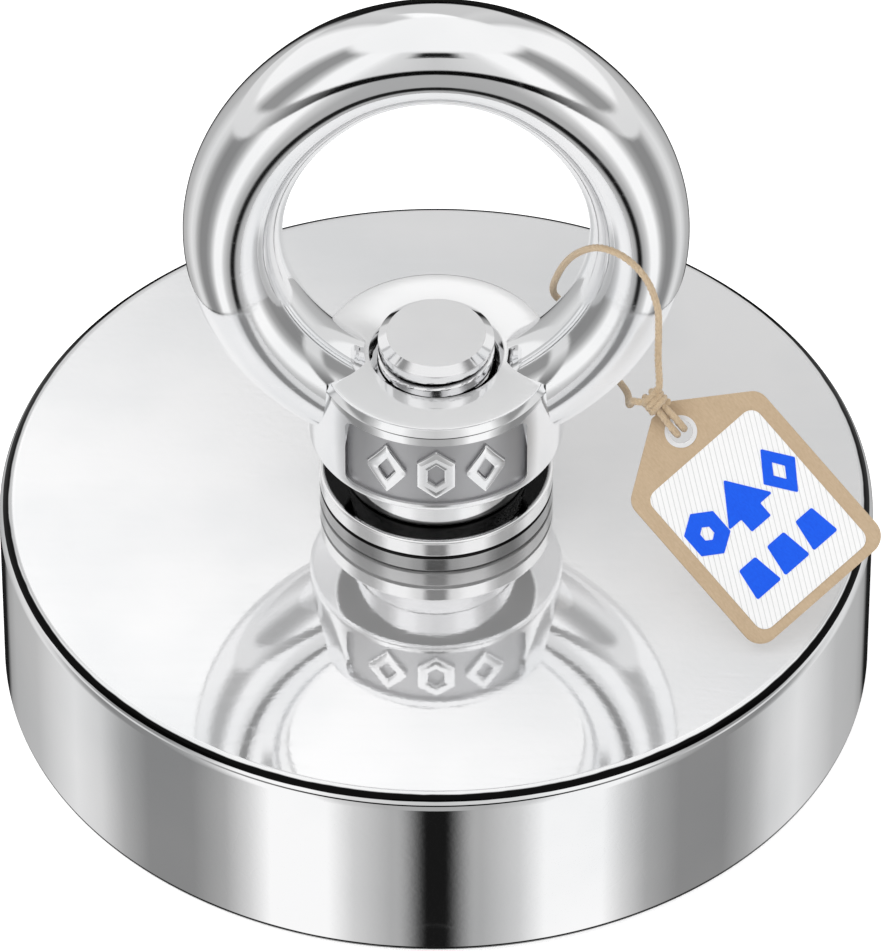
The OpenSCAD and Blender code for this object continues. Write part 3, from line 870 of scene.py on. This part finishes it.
def card_outline():
    """Ring of points round the card, corner by corner, each with its own radius."""
    corners = np.array([
        [CARD_NEAR, -CARD_NEAR_HALF, 0.3], [CARD_SHOULDER, -CARD_HALF, 1.2],
        [CARD_FAR, -CARD_HALF, 1.35], [CARD_FAR, CARD_HALF, 1.35],
        [CARD_SHOULDER, CARD_HALF, 1.2], [CARD_NEAR, CARD_NEAR_HALF, 0.3]])
    points = rounded(corners, steps=10, hold=0.02).reshape(len(corners), -1, 2)
    gap = np.roll(points[:, 0], -1, axis=0) - points[:, -1]
    t = (np.arange(1, 10) / 10)[None, :, None]
    return np.concatenate([points, points[:, -1:] + gap[:, None] * t], axis=1).reshape(-1, 2)


card_edge = card_outline()
card_hole = HOLE_R * card_edge / np.linalg.norm(card_edge, axis=1, keepdims=True)
card = between(
    "kraft_card", card_hole, card_edge,
    [0, 0.004, 0.01, 0.02, 0.3, 0.6, 0.98, 0.988, 0.995, 1,
     1, 0.995, 0.988, 0.98, 0.6, 0.3, 0.02, 0.01, 0.004, 0],
    [-0.06, -0.02, 0, 0, 0, 0, 0, 0, -0.02, -0.07,
     -0.43, -0.48, -0.5, -0.5, -0.5, -0.5, -0.5, -0.5, -0.48, -0.44],
    on_tag, tag_uv)


def paper_material(name, dark, light, streak, relief, rough):
    """Paper board: the fibre group on the card's own p and q, with matt roughness. Gives the
    material, its tree, its Principled BSDF, the fibre node and the UV."""
    material, tree, surface = node_tree(name)
    uv = put(tree, "ShaderNodeUVMap", {"uv_map": "surface"}).outputs[0]
    stretched = put(tree, "ShaderNodeMapping", Vector=uv,
                    Scale=(streak, streak * 2.5, 1)).outputs[0]
    fibre = put(tree, "ShaderNodeGroup", {"node_tree": FIBRE}, Vector=stretched,
                Dark=(*dark, 1), Light=(*light, 1), Fine=14.0, Slow=1.5)
    tree.links.new(fibre.outputs["Color"], surface.inputs["Base Color"])
    bump = put(tree, "ShaderNodeBump", Height=fibre.outputs["Height"], Strength=relief,
               Distance=0.00003).outputs[0]
    tree.links.new(bump, surface.inputs["Normal"])
    surface.inputs["Roughness"].default_value = rough
    surface.inputs["Specular IOR Level"].default_value = 0.25
    return material, tree, surface, fibre, uv


smooth(card, 40)
card.data.materials.append(paper_material(
    "kraft_board", (0.5, 0.37, 0.24), (0.62, 0.48, 0.33), 4, 0.35, 0.85)[0])
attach(card, "tag")
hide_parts("tag_card")

# ------------------------------------------------------------------ tag label
# A white paper label glued to the card, ruled with fine slanting grey lines.

LABEL_T = 0.1
LABEL_NEAR = 1.85
LABEL_FAR = 13.95
LABEL_HALF = 4.8
RULE_ANGLE = math.radians(-27.7)
RULE_SPACING = 0.35

label_edge = polygon_ring([
    (LABEL_FAR, -LABEL_HALF), (LABEL_FAR, LABEL_HALF), (LABEL_NEAR, LABEL_HALF),
    (LABEL_NEAR, -LABEL_HALF)], 0.8, 10)
label_middle = np.zeros_like(label_edge) + [(LABEL_NEAR + LABEL_FAR) / 2, 0]
label = smooth(between(
    "paper_label", label_middle, label_edge,
    [0, 0.5, 0.99, 0.996, 1, 1, 0.5, 0],
    [LABEL_T, LABEL_T, LABEL_T, LABEL_T - 0.005, LABEL_T - 0.03, 0, 0, 0], on_tag, tag_uv), 40)


def label_material():
    """White paper with thin grey rules: the distance across the rules is taken in rule
    spacings, and the paper is grey where its fraction is under a tenth, fading by a fifth."""
    material, tree, surface, fibre, uv = paper_material(
        "white_label", (0.9, 0.9, 0.9), (0.97, 0.97, 0.97), 5, 0.15, 0.55)
    pq = put(tree, "ShaderNodeSeparateXYZ", i0=uv).outputs
    across = maths(tree, "SUBTRACT",
                   maths(tree, "MULTIPLY", pq[1], UV_SPAN * math.cos(RULE_ANGLE) / RULE_SPACING),
                   maths(tree, "MULTIPLY", pq[0], UV_SPAN * math.sin(RULE_ANGLE) / RULE_SPACING))
    rule = ramp(tree, maths(tree, "FRACT", across), [(0.1, 0.72), (0.2, 1.0)])
    printed = put(tree, "ShaderNodeMix", {"data_type": "RGBA", "blend_type": "MULTIPLY"},
                  i0=1.0, i6=fibre.outputs["Color"], i7=rule).outputs[2]
    tree.links.new(printed, surface.inputs["Base Color"])
    return material


label.data.materials.append(label_material())
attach(label, "tag")
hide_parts("tag_label")

# ------------------------------------------------------------------ label print
# A generic blue sign stands for the rating on the label: an arrow that lifts, between a
# hexagon and a diamond, over three weights. It is a thick layer of ink.

INK_LOW = 0.098
INK_HIGH = 0.13


def printed(name, corners, radius, hole=None):
    """Flat printed polygon with rounded corners: rings go from its middle, or from a second
    polygon cut out of it, to its outline, over the top and back under it."""
    outline = polygon_ring(corners, radius, 6)
    if hole is None:
        inner = np.zeros_like(outline) + outline.mean(axis=0)
    else:
        inner = polygon_ring(hole, 0.03, 6)
    return between(name, inner, outline, [0, 0.5, 1, 1, 0.5, 0],
                   [INK_HIGH, INK_HIGH, INK_HIGH, INK_LOW, INK_LOW, INK_LOW], on_tag, tag_uv)


shapes = [
    printed("arrow", [(8.25, -0.85), (8.25, 0.85), (7.15, 0.85), (7.15, 1.95), (4.35, 0),
                      (7.15, -1.95), (7.15, -0.85)], 0.1),
    printed("hexagon",
            [(8.1, -3.2), (7.25, -1.9), (5.45, -1.9), (4.6, -3.2), (5.45, -4.5), (7.25, -4.5)], 0.1,
            [(6.9, -3.2), (6.62, -2.8), (6.08, -2.8), (5.8, -3.2), (6.08, -3.6), (6.62, -3.6)]),
    printed("diamond", [(6.35, 1.85), (8.3, 3.25), (6.35, 4.65), (4.4, 3.25)], 0.1,
            [(6.35, 2.75), (7.1, 3.25), (6.35, 3.75), (5.6, 3.25)]),
    printed("weight_a", [(11.95, -3.6), (11.95, -1.45), (9.65, -1.8), (9.65, -3.25)], 0.15),
    printed("weight_b", [(11.95, -1.1), (11.95, 1.1), (9.65, 0.75), (9.65, -0.75)], 0.15),
    printed("weight_c", [(11.95, 1.45), (11.95, 3.6), (9.65, 3.25), (9.65, 1.8)], 0.15),
]
sign = shapes[0]
sign.name = "label_sign"
joined = bmesh.new()
for shape in shapes:
    joined.from_mesh(shape.data)
joined.to_mesh(sign.data)
joined.free()
for shape in shapes[1:]:
    bpy.data.objects.remove(shape)
smooth(sign, 30)


def ink_material():
    """Blue ink, a little uneven where the paper's fibre drank it."""
    return paper_material(
        "blue_ink", (0.004, 0.085, 0.78), (0.008, 0.13, 0.92), 5, 0.2, 0.45)[0]


sign.data.materials.append(ink_material())
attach(sign, "tag")

# ------------------------------------------------------------------ eyelet
# A thin metal sleeve pressed through the card's hole, with a lip rolled over the front.

EYELET_R = 0.8
LIP_R = 1.1
LIP_T = 0.08

eyelet_profile = rounded([
    (EYELET_R, -0.5, 0.02), (HOLE_R, -0.5, 0.02), (HOLE_R, 0, 0.01), (LIP_R, 0, 0.02),
    (LIP_R, LIP_T, 0.035), (EYELET_R, LIP_T, 0.035)], steps=4, hold=0.005)
spin = np.arange(96) * 2 * np.pi / 96
eyelet = smooth(shell("eyelet_sleeve", on_tag(
    eyelet_profile[:, :1] * np.cos(spin), eyelet_profile[:, :1] * np.sin(spin),
    eyelet_profile[:, 1:])), 40)
material, tree, surface = metal_material(
    "eyelet_tin", (0.72, 0.72, 0.72), (0.88, 0.88, 0.89), 0.3, 0.4, 0.3, 3000.0, 0.1)
surface.inputs["Metallic"].default_value = 0.3
eyelet.data.materials.append(material)
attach(eyelet, "tag")
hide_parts("tag_eyelet")

# ------------------------------------------------------------------ studio
# A white floor and a soft white room with a few grey bands, which the polished metal mirrors.
# None of it belongs to the object.


def grey(level):
    """Display grey, 0 to 255, to the light that shows as it."""
    share = level / 255
    return share / 12.92 if share <= 0.04045 else ((share + 0.055) / 1.055) ** 2.4


def room():
    """World light by direction. Turn is the angle from the front, as a share of a half turn
    to either side, and ramps give it in degrees. Below the horizon grey bands go by turn, and
    above it fainter walls do, up to a white ceiling. A strip runs round the horizon, dark in
    front and behind. Two dark patches stand straight in front, 43 degrees up and down."""
    world = bpy.data.worlds.new("studio")
    bpy.context.scene.world = world
    world.use_nodes = True
    tree = world.node_tree
    background = tree.nodes["Background"]
    way = put(tree, "ShaderNodeTexCoord").outputs["Generated"]
    x, y, z = put(tree, "ShaderNodeSeparateXYZ", i0=way).outputs
    turn = maths(tree, "DIVIDE", maths(tree, "ARCTAN2", maths(tree, "ABSOLUTE", x),
                                       maths(tree, "MULTIPLY", y, -1.0)), math.pi)

    def by_turn(pairs):
        return ramp(tree, turn, [(degrees / 180, grey(level)) for degrees, level in pairs])

    def blended(share, low, high):
        return put(tree, "ShaderNodeMix", {"data_type": "RGBA"}, i0=share, i6=low,
                   i7=high).outputs[2]

    def rising(value, start, end):
        return put(tree, "ShaderNodeMapRange", {"interpolation_type": "SMOOTHSTEP"}, i0=value,
                   i1=start, i2=end).outputs[0]

    def colour(level):
        return (grey(level), grey(level), grey(level), 1)

    bands = by_turn([(0, 172), (12, 176), (22, 212), (29, 255), (45, 255),
                     (51, 215), (58, 170), (68, 140), (83, 140), (92, 172), (101, 215),
                     (112, 230), (123, 212), (133, 190), (150, 180), (157, 160), (162, 30),
                     (180, 25)])
    walls = by_turn([(0, 205), (20, 225), (30, 255), (48, 255), (56, 200), (66, 150), (82, 150),
                     (92, 200), (102, 250), (140, 250), (150, 200), (165, 215)])
    lean = maths(tree, "MULTIPLY_ADD", x, -0.5, z)
    back = blended(rising(lean, 0.662, 0.712), colour(205), colour(262))
    walls = blended(rising(turn, 0.9, 0.94), walls, back)
    ceiling = blended(rising(z, 0.74, 0.82), walls, colour(252))
    strip = by_turn([(0, 5), (26, 12), (48, 150), (70, 225), (152, 225), (163, 25),
                     (180, 5)])
    light = blended(rising(z, 0.12, 0.19), strip, ceiling)
    light = blended(rising(z, -0.07, -0.02), bands, light)
    off = maths(tree, "ABSOLUTE", maths(tree, "SUBTRACT", maths(tree, "ABSOLUTE", z), 0.684))
    level = maths(tree, "SUBTRACT", 1.0, rising(off, 0.045, 0.09))
    narrow = maths(tree, "SUBTRACT", 1.0, rising(turn, 0.012, 0.06))
    wide = maths(tree, "SUBTRACT", 1.0, rising(turn, 0.035, 0.09))
    upper = maths(tree, "MULTIPLY", wide, maths(tree, "GREATER_THAN", z, 0.0))
    patch = maths(tree, "MULTIPLY", level, maths(tree, "MAXIMUM", narrow, upper))
    light = blended(patch, light, colour(24))
    sight = put(tree, "ShaderNodeLightPath").outputs["Is Camera Ray"]
    tree.links.new(blended(sight, light, colour(255)), background.inputs["Color"])


room()


def floor_material():
    """White sweep, lit a little from within so that it stays plain. Mirrored rays pass
    through it to the room."""
    material, tree, surface = node_tree("white_floor")
    surface.inputs["Base Color"].default_value = (0.85, 0.85, 0.85, 1)
    surface.inputs["Roughness"].default_value = 1.0
    surface.inputs["Emission Color"].default_value = (1, 1, 1, 1)
    surface.inputs["Emission Strength"].default_value = 0.55
    glossy = put(tree, "ShaderNodeLightPath").outputs["Is Glossy Ray"]
    clear = put(tree, "ShaderNodeBsdfTransparent").outputs[0]
    mixed = put(tree, "ShaderNodeMixShader", i0=glossy, i1=surface.outputs[0], i2=clear).outputs[0]
    tree.links.new(mixed, tree.nodes["Material Output"].inputs["Surface"])
    return material


floor_mesh = bpy.data.meshes.new("floor")
floor_mesh.from_pydata([(-3, -3, 0), (3, -3, 0), (3, 3, 0), (-3, 3, 0)], [], [(0, 1, 2, 3)])
floor = bpy.data.objects.new("floor", floor_mesh)
floor.location = (0, 0, -0.0002)
floor_mesh.materials.append(floor_material())
bpy.context.scene.collection.objects.link(floor)
floor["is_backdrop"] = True

softbox = bpy.data.lights.new("softbox", "AREA")
softbox.size = 0.7
softbox.energy = 3.0
lamp = bpy.data.objects.new("softbox", softbox)
lamp.location = (-0.35, -0.3, 0.8)
lamp.rotation_euler = (-0.35, -0.41, 0)
lamp.visible_glossy = False
bpy.context.scene.collection.objects.link(lamp)

# The twine and the tag don't show in the polished metal, which keeps its bands clean.
for piece in (twine, knot, card, label, sign, eyelet):
    piece.visible_glossy = False

low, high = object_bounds()
